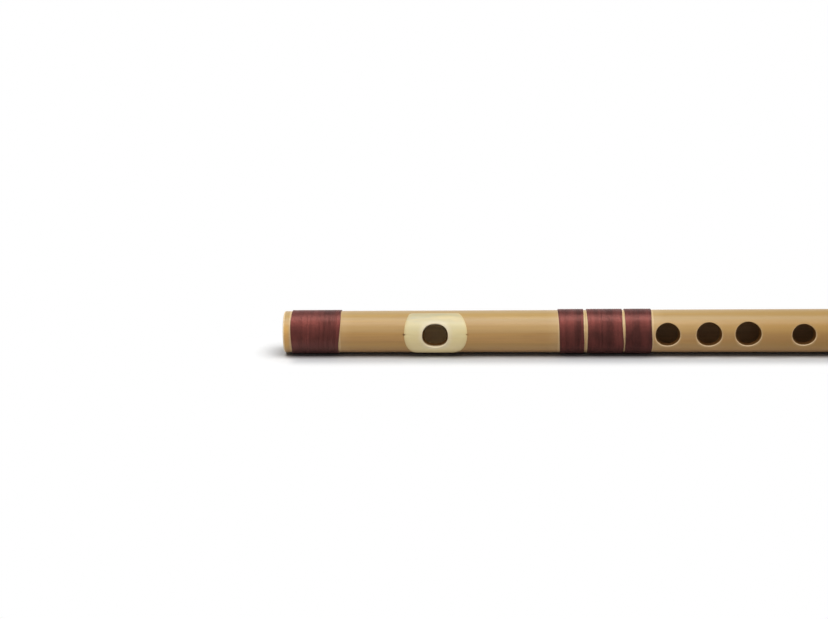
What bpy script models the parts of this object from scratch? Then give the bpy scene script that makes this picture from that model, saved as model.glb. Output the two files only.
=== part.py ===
"""Bansuri: a side-blown bamboo flute with thread bindings, lying on its lowest line.

The flute is built along +X from its head end, in the frame of an empty on the bore's axis. The
bamboo tapers, so the empty is tilted by half the taper and the bindings lie flat on the ground.
"""
import math

import bmesh
import bpy
from mathutils import Vector

MM = 0.001

# Bamboo tube: the bore and the walls round it give the outside
TUBE_LENGTH = 329.0 * MM
BORE_DIAMETER = 16.0 * MM
HEAD_WALL = 2.02 * MM
FOOT_WALL = 2.48 * MM
LIP_ROUNDING = 0.85 * MM
BORE_CHAMFER = 0.4 * MM
MOST_EASED_WALL = 0.45
TUBE_SIDES = 48

# Blowing hole: distance of its centre from the head end, length along the flute and width across
# it. Its outline is an ellipse at squareness 1, and fuller at its corners below that
EMBOUCHURE = (73.3 * MM, 12.3 * MM, 10.4 * MM)
EMBOUCHURE_SQUARENESS = 0.88

# Finger holes: distance from the blowing hole's centre, for an air column of the length given here
# from there to the foot end, then length along the flute and width across it
HOLE_TABLE_COLUMN = 255.7 * MM
FINGER_HOLE_TABLE = (
    (110.8 * MM, 11.6 * MM, 11.0 * MM),
    (130.4 * MM, 12.0 * MM, 11.3 * MM),
    (148.9 * MM, 12.2 * MM, 11.4 * MM),
    (175.1 * MM, 11.1 * MM, 10.1 * MM),
    (194.5 * MM, 12.0 * MM, 11.3 * MM),
    (215.8 * MM, 10.6 * MM, 9.9 * MM),
)
HOLE_LINE_ROLL = math.radians(4.2)
HOLE_SIDES = 28
HOLE_EASING = 0.35 * MM
HOLE_COLLAR = 1.2 * MM
CUTTER_PROUD = 2.8 * MM

# Lip plate: its width is measured round the bamboo, and its middle lies a little past the hole's
# along the flute and a little above it
PLATE_LENGTH = 30.2 * MM
PLATE_WIDTH = 23.0 * MM
PLATE_OFFSET = 0.25 * MM
PLATE_LIFT = 0.35 * MM
PLATE_THICKNESS = 1.15 * MM
PLATE_EDGE = 0.45 * MM
PLATE_END_ARC = 18.5 * MM
PLATE_CORNER = 2.6 * MM
PLATE_HOLE_EASING = 0.25 * MM
PLATE_RINGS = 6
ARC_POINTS = 5
SIDE_POINTS = 3

# Cork stopper
CORK_LENGTH = 20.0 * MM
CORK_TO_EMBOUCHURE = 15.5 * MM
CORK_CHAMFER = 0.8 * MM
CORK_CLEARANCE = 0.3 * MM
CORK_SIDES = 36

# Thread bindings: the length of each, and the bare bamboo at the ends, between them and before
# the centre of the first finger hole
HEAD_BINDING_LENGTH = 23.5 * MM
UPPER_BINDING_LENGTHS = (11.6 * MM, 16.7 * MM, 12.6 * MM)
FOOT_BINDING_LENGTH = 23.2 * MM
BARE_END = 3.7 * MM
BARE_BETWEEN = (1.9 * MM, 1.4 * MM)
BARE_BEFORE_HOLES = 7.3 * MM
SEAT_GAP = 0.25 * MM
CORE_THICKNESS = 0.2 * MM
THREAD_WIDTH = 1.4 * MM
THREAD_CREST_WIDTH = 0.7 * MM
THREAD_RELIEF = 0.25 * MM
THREAD_LEAST_GAP = 0.42 * MM
THREAD_MOST_TURNS = 24
BINDING_MARGIN = 0.1 * MM
STEPS_PER_TURN = 24
REST_FLAT_DEPTH = THREAD_WIDTH / 10

# Worked out from the sizes above
TAPER = (FOOT_WALL - HEAD_WALL) / TUBE_LENGTH
CREST_HEIGHT = SEAT_GAP + CORE_THICKNESS + THREAD_RELIEF
EASED_WALL = min(HEAD_WALL, FOOT_WALL) * MOST_EASED_WALL
LIP_RADIUS = min(LIP_ROUNDING, EASED_WALL)
BORE_BEVEL = min(BORE_CHAMFER, EASED_WALL)


def outer_radius(x):
    """The bamboo's outer radius at a distance from the head end."""
    return BORE_DIAMETER / 2 + HEAD_WALL + TAPER * x


def finger_holes():
    """The finger holes' centres from the head end, at their shares of the flute's own air column."""
    stretch = (TUBE_LENGTH - EMBOUCHURE[0]) / HOLE_TABLE_COLUMN
    return [(EMBOUCHURE[0] + place * stretch, length, width) for place, length, width in FINGER_HOLE_TABLE]


def bindings():
    """Each binding's distance from the head end and its length: the upper ones end before the holes."""
    places = {"head_binding": (BARE_END, HEAD_BINDING_LENGTH)}
    end = finger_holes()[0][0] - BARE_BEFORE_HOLES
    for number in (3, 2, 1):
        length = UPPER_BINDING_LENGTHS[number - 1]
        places[f"upper_binding_{number}"] = (end - length, length)
        if number > 1:
            end -= length + BARE_BETWEEN[number - 2]
    places["foot_binding"] = (TUBE_LENGTH - BARE_END - FOOT_BINDING_LENGTH, FOOT_BINDING_LENGTH)
    return places


def on_axis_frame(x, radius, angle):
    """A point round the bore's axis: angle 0 is the player's side, and a quarter turn is up."""
    return Vector((x, -radius * math.cos(angle), radius * math.sin(angle)))


def oval_point(half_length, half_width, turn, squareness):
    """A point of a hole's outline: how far along the flute and how far across it."""
    cosine = math.cos(turn)
    sine = math.sin(turn)
    along = half_length * math.copysign(abs(cosine) ** squareness, cosine)
    across = half_width * math.copysign(abs(sine) ** squareness, sine)
    return along, across


def rest_height(x):
    """How far below the axis the flats under the bindings lie."""
    return outer_radius(x) + CREST_HEIGHT - REST_FLAT_DEPTH


def make_material(name, colour, roughness):
    material = bpy.data.materials.new(name)
    material.use_nodes = True
    shader = material.node_tree.nodes["Principled BSDF"]
    shader.inputs["Base Color"].default_value = (*colour, 1.0)
    shader.inputs["Roughness"].default_value = roughness
    shader.inputs["Metallic"].default_value = 0.0
    return material


def make_object(name, bm, material, parent):
    """Point the closed mesh's faces outwards and add it to the scene under its name."""
    bmesh.ops.recalc_face_normals(bm, faces=bm.faces)
    mesh = bpy.data.meshes.new(name)
    bm.to_mesh(mesh)
    bm.free()
    mesh.shade_smooth()
    mesh.set_sharp_from_angle(angle=math.radians(30.0))
    if material is not None:
        mesh.materials.append(material)
    piece = bpy.data.objects.new(name, mesh)
    bpy.context.scene.collection.objects.link(piece)
    piece.parent = parent
    return piece


def turn_profile(profile, sides, closed):
    """Turn a profile of (x, radius) points round the axis. An open one gets a cap at each end."""
    bm = bmesh.new()
    rings = []
    for x, radius in profile:
        ring = [bm.verts.new(on_axis_frame(x, radius, math.tau * side / sides)) for side in range(sides)]
        rings.append(ring)
    pairs = list(zip(rings, rings[1:]))
    if closed:
        pairs.append((rings[-1], rings[0]))
    else:
        bm.faces.new(rings[0])
        bm.faces.new(rings[-1])
    for first, second in pairs:
        for side in range(sides):
            after = (side + 1) % sides
            bm.faces.new((first[side], first[after], second[after], second[side]))
    return bm


def rounded_lip(x_end, inward):
    """The outer corner of one end, as a quarter round from the end face to the outside."""
    points = []
    for step in range(ARC_POINTS):
        angle = math.pi / 2 * step / (ARC_POINTS - 1)
        x = x_end + inward * LIP_RADIUS * (1 - math.sin(angle))
        drop = LIP_RADIUS * (1 - math.cos(angle))
        points.append((x, outer_radius(x) - drop))
    return points


def make_tube(material, parent):
    """The bamboo: a tapered outside, a straight bore, and a ring of edges on each side of a hole."""
    holes = [EMBOUCHURE] + finger_holes()
    collars = []
    for centre, length, _ in holes:
        reach = length / 2 + HOLE_COLLAR
        collars += [centre - reach, centre + reach]
    collars.sort()
    bore = BORE_DIAMETER / 2
    head_lip = sorted(rounded_lip(0.0, 1))
    foot_lip = sorted(rounded_lip(TUBE_LENGTH, -1))
    profile = head_lip
    profile += [(x, outer_radius(x)) for x in collars]
    profile += foot_lip
    profile += [(TUBE_LENGTH, bore + BORE_BEVEL), (TUBE_LENGTH - BORE_BEVEL, bore)]
    profile += [(x, bore) for x in reversed(collars)]
    profile += [(BORE_BEVEL, bore), (0.0, bore + BORE_BEVEL)]
    tube = make_object("bamboo_tube", turn_profile(profile, TUBE_SIDES, closed=True), material, parent)
    for number, hole in enumerate(holes):
        squareness = EMBOUCHURE_SQUARENESS if number == 0 else 1.0
        cutter = make_hole_cutter(f"hole_cutter_{number}", hole, squareness, parent)
        cut = tube.modifiers.new(cutter.name, "BOOLEAN")
        cut.operation = "DIFFERENCE"
        cut.solver = "EXACT"
        cut.object = cutter
    return tube


def make_hole_cutter(name, hole, squareness, parent):
    """An oval cutter from the axis outwards, which flares where it leaves the bamboo to ease the rim."""
    centre, length, width = hole
    radius = outer_radius(centre)
    bm = bmesh.new()
    rings = []
    for level in range(4):
        ring = []
        for side in range(HOLE_SIDES):
            turn = math.tau * side / HOLE_SIDES
            along, across = oval_point(length / 2, width / 2, turn, squareness)
            rim = math.sqrt(radius ** 2 - across ** 2)
            flare = (0.0, 0.0, 2 * HOLE_EASING, 2 * HOLE_EASING)[level]
            depth = (0.0, rim - HOLE_EASING, rim + HOLE_EASING, radius + CUTTER_PROUD)[level]
            x = centre + along + flare * math.cos(turn)
            sideways = across + flare * math.sin(turn)
            flat = Vector((x, -depth, sideways))
            ring.append(bm.verts.new(turned_to_hole_line(flat)))
        rings.append(ring)
    bm.faces.new(rings[0])
    bm.faces.new(rings[-1])
    for first, second in zip(rings, rings[1:]):
        for side in range(HOLE_SIDES):
            after = (side + 1) % HOLE_SIDES
            bm.faces.new((first[side], first[after], second[after], second[side]))
    cutter = make_object(name, bm, None, parent)
    cutter.hide_render = True
    cutter.display_type = "WIRE"
    return cutter


def turned_to_hole_line(point):
    """Turn a point from the player's side up to the line that the holes lie on."""
    cos_roll = math.cos(HOLE_LINE_ROLL)
    sin_roll = math.sin(HOLE_LINE_ROLL)
    return Vector((point.x, point.y * cos_roll + point.z * sin_roll, point.z * cos_roll - point.y * sin_roll))


def plate_outline():
    """The lip plate's outline, once round, as (along, around) points from the middle of the hole.

    Each end is a shallow arc, each side is straight, and a small arc touches both at the corner.
    """
    half_length = PLATE_LENGTH / 2
    half_width = PLATE_WIDTH / 2
    end_centre = half_length - PLATE_END_ARC
    corner_height = half_width - PLATE_CORNER
    corner_reach = PLATE_END_ARC - PLATE_CORNER
    touch = math.asin(corner_height / corner_reach)
    corner_centre = end_centre + corner_reach * math.cos(touch)
    quarter = []
    for step in range(ARC_POINTS):
        angle = touch * step / ARC_POINTS
        quarter.append((end_centre + PLATE_END_ARC * math.cos(angle), PLATE_END_ARC * math.sin(angle)))
    for step in range(ARC_POINTS):
        angle = touch + (math.pi / 2 - touch) * step / ARC_POINTS
        along = corner_centre + PLATE_CORNER * math.cos(angle)
        quarter.append((along, corner_height + PLATE_CORNER * math.sin(angle)))
    for step in range(SIDE_POINTS):
        quarter.append((corner_centre * (1 - step / SIDE_POINTS), half_width))
    quarter.append((0.0, half_width))
    second = [(-along, around) for along, around in reversed(quarter[:-1])]
    upper_half = quarter + second
    lower_half = [(-along, -around) for along, around in upper_half[1:-1]]
    return upper_half + lower_half


def make_lip_plate(material, parent):
    """The saddle plate: rings of points from the blowing hole out to the outline, on two faces."""
    centre, hole_length, hole_width = EMBOUCHURE
    seat = outer_radius(centre)
    outline = plate_outline()
    bm = bmesh.new()
    top_rings = []
    seat_rings = []
    for ring in range(PLATE_RINGS + 1):
        share = ring / PLATE_RINGS
        fullness = math.sqrt(1.0 - share ** 6)
        thickness = PLATE_EDGE + (PLATE_THICKNESS - PLATE_EDGE) * fullness
        if ring == 0:
            thickness -= PLATE_HOLE_EASING
        top = []
        under = []
        for along, around in outline:
            direction = math.atan2(around / hole_width, along / hole_length)
            rim_along, rim_around = oval_point(
                hole_length / 2, hole_width / 2, direction, EMBOUCHURE_SQUARENESS)
            x = centre + rim_along + (along + PLATE_OFFSET - rim_along) * share
            angle = HOLE_LINE_ROLL + (rim_around + (around + PLATE_LIFT - rim_around) * share) / seat
            floor = outer_radius(x) + SEAT_GAP
            top.append(bm.verts.new(on_axis_frame(x, floor + thickness, angle)))
            under.append(bm.verts.new(on_axis_frame(x, floor, angle)))
        top_rings.append(top)
        seat_rings.append(under)
    count = len(outline)
    loops = seat_rings[::-1] + top_rings
    for first, second in zip(loops, loops[1:] + loops[:1]):
        for point in range(count):
            after = (point + 1) % count
            bm.faces.new((first[point], first[after], second[after], second[point]))
    return make_object("lip_plate", bm, material, parent)


def make_cork(material, parent):
    """The stopper: a cork plug with chamfered ends, its face set back from the blowing hole."""
    face = EMBOUCHURE[0] - CORK_TO_EMBOUCHURE
    back = face - CORK_LENGTH
    radius = BORE_DIAMETER / 2 - CORK_CLEARANCE
    profile = [
        (back, radius - CORK_CHAMFER),
        (back + CORK_CHAMFER, radius),
        (face - CORK_CHAMFER, radius),
        (face, radius - CORK_CHAMFER),
    ]
    return make_object("cork_stopper", turn_profile(profile, CORK_SIDES, closed=False), material, parent)


def binding_turns(length):
    """As many turns as fit side by side with the least gap between them."""
    room = length - 2 * BINDING_MARGIN - THREAD_WIDTH
    return max(1, min(THREAD_MOST_TURNS, int(room / (THREAD_WIDTH + THREAD_LEAST_GAP))))


def thread_angle(step):
    """The direction of a step round the winding: the thread starts at the back, half a step down."""
    return math.pi + math.tau * (step + 0.5) / STEPS_PER_TURN


def thread_point(x, height, step):
    """A point on the winding at a height over the bamboo, pressed flat where the flute rests."""
    point = on_axis_frame(x, outer_radius(x) + height, thread_angle(step))
    point.z = max(point.z, -rest_height(x))
    return point


def print_least_gap(name, middles):
    """Measure how near the thread comes to itself from one turn to another."""
    nearest = min(
        (middles[first] - middles[second]).length
        for first in range(len(middles))
        for second in range(first + STEPS_PER_TURN // 2, len(middles))
    )
    turns = (len(middles) - 1) // STEPS_PER_TURN
    print(f"{name}: {turns} turns, least gap {(nearest - THREAD_WIDTH) / MM:.2f} mm")


def make_binding(name, start, length, material, parent):
    """A binding: a thin core of inner turns, and the outer layer on it as one unbroken thread.

    The thread's half that stands out of the core is three of its six sides: two flanks and a
    crest. At each end it dives into the core, as a tucked-in end does.
    """
    turns = binding_turns(length)
    steps = turns * STEPS_PER_TURN
    pitch = (length - 2 * BINDING_MARGIN - THREAD_WIDTH) / turns
    core = SEAT_GAP + CORE_THICKNESS
    flank = (THREAD_WIDTH - THREAD_CREST_WIDTH) / 2
    end = start + length
    bm = bmesh.new()

    def ring(x, height):
        return [bm.verts.new(thread_point(x, height, step)) for step in range(STEPS_PER_TURN)]

    def face(*corners):
        distinct = [corner for place, corner in enumerate(corners) if corner is not corners[place - 1]]
        bm.faces.new(distinct)

    inner_start = ring(start, SEAT_GAP)
    outer_start = ring(start, core)
    outer_end = ring(end, core)
    inner_end = ring(end, SEAT_GAP)
    left, left_crest, right_crest, right, middles = [], [], [], [], []
    for step in range(steps + 1):
        x = start + BINDING_MARGIN + pitch * step / STEPS_PER_TURN
        left.append(bm.verts.new(thread_point(x, core, step)))
        right.append(bm.verts.new(thread_point(x + THREAD_WIDTH, core, step)))
        middles.append(thread_point(x + THREAD_WIDTH / 2, core, step))
        if step in (0, steps):
            left_crest.append(left[-1])
            right_crest.append(right[-1])
        else:
            left_crest.append(bm.verts.new(thread_point(x + flank, CREST_HEIGHT, step)))
            right_crest.append(bm.verts.new(thread_point(x + THREAD_WIDTH - flank, CREST_HEIGHT, step)))

    for step in range(steps):
        after = step + 1
        face(left[step], left[after], left_crest[after], left_crest[step])
        face(left_crest[step], left_crest[after], right_crest[after], right_crest[step])
        face(right_crest[step], right_crest[after], right[after], right[step])
    for step in range(steps - STEPS_PER_TURN):
        beyond = step + STEPS_PER_TURN
        face(right[step], right[step + 1], left[beyond + 1], left[beyond])
    for step in range(STEPS_PER_TURN):
        after = (step + 1) % STEPS_PER_TURN
        last = steps - STEPS_PER_TURN + step
        face(inner_start[step], inner_start[after], outer_start[after], outer_start[step])
        face(inner_end[step], inner_end[after], outer_end[after], outer_end[step])
        face(inner_start[step], inner_start[after], inner_end[after], inner_end[step])
        if after:
            face(outer_start[step], outer_start[after], left[after], left[step])
        else:
            face(outer_start[step], outer_start[0], left[0], right[0], left[STEPS_PER_TURN], left[step])
        if step:
            face(right[last], right[last + 1], outer_end[after], outer_end[step])
        else:
            face(right[last], right[last + 1], outer_end[1], outer_end[0], right[steps], left[steps])
    print_least_gap(name, middles)
    return make_object(name, bm, material, parent)


def clear_scene():
    for piece in list(bpy.data.objects):
        bpy.data.objects.remove(piece, do_unlink=True)


def main():
    clear_scene()
    axis = bpy.data.objects.new("flute_axis", None)
    bpy.context.scene.collection.objects.link(axis)
    tilt = math.atan(TAPER)
    axis.location = (-TUBE_LENGTH / 2 * math.cos(tilt), 0.0, rest_height(0.0) * math.cos(tilt))
    axis.rotation_euler = (0.0, -tilt, 0.0)

    bamboo = make_material("lacquered bamboo", (0.558, 0.361, 0.159), 0.35)
    ivory = make_material("ivory plate", (0.730, 0.658, 0.429), 0.30)
    cork = make_material("cork", (0.434, 0.231, 0.089), 0.85)
    thread = make_material("dark red thread", (0.156, 0.045, 0.038), 0.60)

    make_tube(bamboo, axis)
    make_lip_plate(ivory, axis)
    make_cork(cork, axis)
    for name, (start, length) in bindings().items():
        make_binding(name, start, length, thread, axis)


main()
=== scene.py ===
"""The looks of a bansuri: lacquered bamboo, wound thread, a lip plate and a cork, on a pale floor."""

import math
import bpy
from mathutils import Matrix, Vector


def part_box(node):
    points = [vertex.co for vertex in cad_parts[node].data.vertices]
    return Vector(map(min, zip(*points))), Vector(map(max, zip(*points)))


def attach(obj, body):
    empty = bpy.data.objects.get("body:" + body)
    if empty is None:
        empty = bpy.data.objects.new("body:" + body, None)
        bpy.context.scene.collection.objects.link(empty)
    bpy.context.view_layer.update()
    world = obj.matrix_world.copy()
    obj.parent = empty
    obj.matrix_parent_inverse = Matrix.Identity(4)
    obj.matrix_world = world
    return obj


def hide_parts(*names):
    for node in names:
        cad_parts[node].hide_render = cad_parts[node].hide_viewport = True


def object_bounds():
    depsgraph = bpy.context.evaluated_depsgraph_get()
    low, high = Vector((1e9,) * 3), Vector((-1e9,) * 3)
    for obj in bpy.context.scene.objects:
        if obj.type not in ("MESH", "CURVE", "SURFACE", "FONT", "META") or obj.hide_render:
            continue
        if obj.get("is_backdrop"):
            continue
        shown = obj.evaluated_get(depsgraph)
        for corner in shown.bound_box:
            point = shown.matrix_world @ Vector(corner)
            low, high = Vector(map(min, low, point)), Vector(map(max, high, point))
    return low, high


bl_info = {
    "name": "Bansuri looks",
    "version": (1, 0, 0),
    "blender": (4, 5, 0),
    "location": "3D View > Sidebar > Bansuri",
    "description": "Bamboo, thread bindings, lip plate and cork stopper of a side-blown flute",
    "category": "Object",
}

from typing import NamedTuple

import bmesh
import bpy
from bpy.props import FloatProperty, FloatVectorProperty, IntProperty, PointerProperty
from mathutils import Matrix, Vector

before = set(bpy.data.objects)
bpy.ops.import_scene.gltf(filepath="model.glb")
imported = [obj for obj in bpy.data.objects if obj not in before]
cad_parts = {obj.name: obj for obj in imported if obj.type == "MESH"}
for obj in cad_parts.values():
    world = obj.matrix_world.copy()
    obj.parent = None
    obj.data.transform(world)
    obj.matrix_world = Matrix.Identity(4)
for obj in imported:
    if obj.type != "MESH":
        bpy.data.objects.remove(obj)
CAD_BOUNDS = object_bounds()

MM = 0.001
# Radii that differ by less count as the same
TOLERANCE = 0.001 * MM
TUBE_LOW, TUBE_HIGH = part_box("bamboo_tube")
CORK_LOW, CORK_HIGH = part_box("cork_stopper")
TUBE_LENGTH = TUBE_HIGH.x - TUBE_LOW.x
CORK_LENGTH = CORK_HIGH.x - CORK_LOW.x

# Bindings: for the first and the last turn, in mm, how far it lies from the end of the CAD's binding, how
# far it leans towards the foot at the top of the flute and how far it bows out between the top and the
# player's side; then where the darker turns are and how many, as shares of the binding
BINDINGS = {
    "head_binding": ((-0.03, 0.12, -0.28), (0.21, 0.50, 0.28), (0.80, 0.22)),
    "upper_binding_1": ((-0.06, -0.71, 0.17), (0.38, -0.09, -0.22), (0.77, 0.28)),
    "upper_binding_2": ((-0.18, -0.42, 0.22), (0.46, -0.27, -0.29), (0.63, 0.2)),
    "upper_binding_3": ((-0.40, -0.17, 0.03), (0.11, -0.01, -0.28), (0.42, 0.24)),
    "foot_binding": ((0.0, 0.2, 0.1), (0.0, -0.3, -0.1), (0.35, 0.2)),
}


class Hole(NamedTuple):
    """A hole through the bamboo."""

    centre: float
    length: float
    width: float
    rise: float
    squareness: float = 1.0

    def outline(self, grow, direction):
        """A point of its oval, made that much larger: an ellipse at squareness 1, fuller under it."""
        cosine, sine = math.cos(direction), math.sin(direction)
        return ((self.length / 2 + grow) * math.copysign(abs(cosine) ** self.squareness, cosine),
                (self.width / 2 + grow) * math.copysign(abs(sine) ** self.squareness, sine))


# Holes: the centre's distance from the head end, length along the flute, width across it, how far the centre
# lies above the line of the holes, and the squareness of the blowing hole
EMBOUCHURE = Hole(73.3 * MM, 12.3 * MM, 10.4 * MM, -0.17 * MM, 0.88)
FINGER_HOLES = (
    Hole(184.1 * MM, 11.6 * MM, 11.0 * MM, -0.07 * MM),
    Hole(203.7 * MM, 12.0 * MM, 11.3 * MM, 0.03 * MM),
    Hole(222.2 * MM, 12.2 * MM, 11.4 * MM, 0.27 * MM),
    Hole(248.4 * MM, 11.1 * MM, 10.1 * MM, -0.18 * MM),
    Hole(267.8 * MM, 12.0 * MM, 11.3 * MM, 0.0),
    Hole(289.1 * MM, 10.6 * MM, 9.9 * MM, 0.0),
)


class BansuriSizes(bpy.types.PropertyGroup):
    """Sizes of the flute's visible pieces."""

    head_diameter: FloatProperty(
        name="Head diameter", description="Outside of the bamboo at the head", default=20.04 * MM, unit="LENGTH")
    foot_diameter: FloatProperty(
        name="Foot diameter", description="Outside of the bamboo at the foot", default=20.96 * MM, unit="LENGTH")
    bore_diameter: FloatProperty(
        name="Bore", description="Inside of the bamboo", default=16.0 * MM, unit="LENGTH")
    hole_line_roll: FloatProperty(
        name="Hole line", description="How far the holes are turned up", default=math.radians(4.2),
        subtype="ANGLE")
    lip_rounding: FloatProperty(
        name="End rounding", description="Radius of the tube's rims", default=0.85 * MM, unit="LENGTH")
    hole_easing: FloatProperty(
        name="Hole easing", description="Radius of the sanded edge of a hole", default=0.5 * MM, unit="LENGTH")
    hole_cone: FloatProperty(
        name="Hole cone", description="How much a hole's wall leans in towards the bore", default=0.65 * MM,
        unit="LENGTH")
    thread_radius: FloatProperty(
        name="Thread radius", description="Radius of the winding thread", default=0.28 * MM, unit="LENGTH")
    thread_pitch: FloatProperty(
        name="Thread pitch", description="Distance from one turn to the next", default=0.47 * MM,
        unit="LENGTH")
    plate_length: FloatProperty(
        name="Plate length", description="Lip plate along the flute", default=30.2 * MM, unit="LENGTH")
    plate_width: FloatProperty(
        name="Plate width", description="Lip plate round the bamboo", default=23.0 * MM, unit="LENGTH")
    plate_offset: FloatProperty(
        name="Plate offset", description="How far the plate's middle lies past the blowing hole's",
        default=0.25 * MM, unit="LENGTH")
    plate_lift: FloatProperty(
        name="Plate lift", description="How far the plate's middle lies above the hole line",
        default=0.35 * MM, unit="LENGTH")
    plate_thickness: FloatProperty(
        name="Plate thickness", description="Lip plate beside its hole", default=1.15 * MM, unit="LENGTH")
    around: IntProperty(
        name="Columns", description="Columns of faces round the bamboo", default=144, min=24)


class BansuriColours(bpy.types.PropertyGroup):
    """Colours of the flute's visible pieces, linear."""

    bamboo: FloatVectorProperty(
        name="Bamboo", description="Lacquered skin", default=(0.535, 0.32, 0.107), subtype="COLOR")
    bamboo_dark: FloatVectorProperty(
        name="Bamboo fibres", description="Darker fibres and blotches", default=(0.41, 0.23, 0.077),
        subtype="COLOR")
    # Paler bamboo beside the bindings; also the bore under the blowing hole, whose paler colour is partly clean
    # sanded bamboo and partly painted light
    bamboo_pale_and_lit: FloatVectorProperty(
        name="Cut bamboo", description="Bare bamboo beside the bindings", default=(0.80, 0.59, 0.33),
        subtype="COLOR")
    # Sanded rims; they are made palest at the lower side of each hole as a painted highlight
    bamboo_rim: FloatVectorProperty(
        name="Sanded rim", description="Rims of the holes", default=(0.93, 0.71, 0.43), subtype="COLOR")
    # Also used for painted shade in the plate's nicks and at the foot of the plate's hole
    burnt: FloatVectorProperty(
        name="Burnt wall", description="Walls of the holes", default=(0.085, 0.031, 0.0015), subtype="COLOR")
    bore: FloatVectorProperty(
        name="Bore", description="Inside of the bamboo", default=(0.36, 0.205, 0.09), subtype="COLOR")
    thread: FloatVectorProperty(
        name="Thread", description="Dark red thread", default=(0.19, 0.055, 0.046), subtype="COLOR")
    thread_dark: FloatVectorProperty(
        name="Thread shade", description="Darker turns", default=(0.085, 0.029, 0.025), subtype="COLOR")
    # Painted light: paler thread at the bottom for light from the floor, and a painted highlight on top
    thread_painted_light: FloatVectorProperty(
        name="Rubbed thread", description="Paler thread below and on top", default=(0.28, 0.115, 0.10),
        subtype="COLOR")
    # Ivory, low to Ivory shade: painted light and shade, paler on the plate's lower side and darker on its upper
    # side
    ivory_low: FloatVectorProperty(
        name="Ivory, low", description="Lip plate, lower side", default=(0.89, 0.745, 0.44), subtype="COLOR")
    ivory: FloatVectorProperty(
        name="Ivory", description="Lip plate, middle", default=(0.84, 0.687, 0.345), subtype="COLOR")
    ivory_high: FloatVectorProperty(
        name="Ivory, high", description="Lip plate, above the hole", default=(0.70, 0.605, 0.34),
        subtype="COLOR")
    ivory_lip: FloatVectorProperty(
        name="Ivory lip", description="Rim of the blowing hole", default=(0.88, 0.77, 0.62), subtype="COLOR")
    ivory_shade: FloatVectorProperty(
        name="Ivory shade", description="Lip plate, upper side", default=(0.455, 0.41, 0.245), subtype="COLOR")
    cork: FloatVectorProperty(
        name="Cork", description="Stopper", default=(0.46, 0.26, 0.11), subtype="COLOR")
    floor: FloatVectorProperty(
        name="Floor", description="Pale floor", default=(0.57, 0.57, 0.57), subtype="COLOR")


def sizes():
    return bpy.context.scene.bansuri_sizes


def colours():
    return bpy.context.scene.bansuri_colours


# The flute's own frame: +X along the bore from the head end, tilted so that the lowest line is level

def taper():
    return (sizes().foot_diameter - sizes().head_diameter) / 2 / TUBE_LENGTH


def outer_radius(x):
    return sizes().head_diameter / 2 + taper() * x


def to_world():
    """From the flute's own frame to the world."""
    tilt = math.atan(taper())
    middle = (TUBE_LOW.x + TUBE_HIGH.x) / 2
    height = TUBE_LOW.z + sizes().head_diameter / 2 * math.cos(tilt)
    place = Matrix.Translation((middle - TUBE_LENGTH / 2 * math.cos(tilt), 0.0, height))
    return place @ Matrix.Rotation(-tilt, 4, "Y")


def round_axis(x, radius, angle):
    """Angle 0 is the player's side and a quarter turn is up."""
    return Vector((x, -radius * math.cos(angle), radius * math.sin(angle)))


def mix(a, b, share):
    return a + (b - a) * share


def face_outwards(mesh):
    """Turns all faces of a closed shell outwards."""
    shell = bmesh.new()
    shell.from_mesh(mesh)
    bmesh.ops.recalc_face_normals(shell, faces=shell.faces)
    shell.to_mesh(mesh)
    shell.free()


def link_new(name, data):
    """A new object in the scene."""
    made = bpy.data.objects.new(name, data)
    bpy.context.scene.collection.objects.link(made)
    return made


# Edges that bend more than this stay sharp
SHARP_ANGLE = math.radians(40.0)


class MeshMaker:
    """Collects a piece's points, faces and painted values, then makes its object in the world."""

    def __init__(self):
        self.points = []
        self.faces = []
        self.paint = {}

    def point(self, place, **paint):
        self.points.append(place)
        for name, value in paint.items():
            self.paint.setdefault(name, {})[len(self.points) - 1] = value
        return len(self.points) - 1

    def quad(self, first, second, place):
        """A face between two rings of points, from one place to the next."""
        after = (place + 1) % len(first)
        self.faces.append((first[place], first[after], second[after], second[place]))

    def strips(self, rings):
        """Faces all round between each ring of points and the next."""
        for first, second in zip(rings, rings[1:]):
            for place in range(len(first)):
                self.quad(first, second, place)

    def finish(self, name, material):
        mesh = bpy.data.meshes.new(name)
        mesh.from_pydata([tuple(p) for p in self.points], [], self.faces)
        for paint_name, values in self.paint.items():
            attribute = mesh.attributes.new(paint_name, "FLOAT", "POINT")
            attribute.data.foreach_set("value", [values.get(i, 0.0) for i in range(len(self.points))])
        mesh.transform(to_world())
        mesh.validate()
        face_outwards(mesh)
        mesh.shade_smooth()
        mesh.set_sharp_from_angle(angle=SHARP_ANGLE)
        mesh.materials.append(material)
        return link_new(name, mesh)


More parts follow.
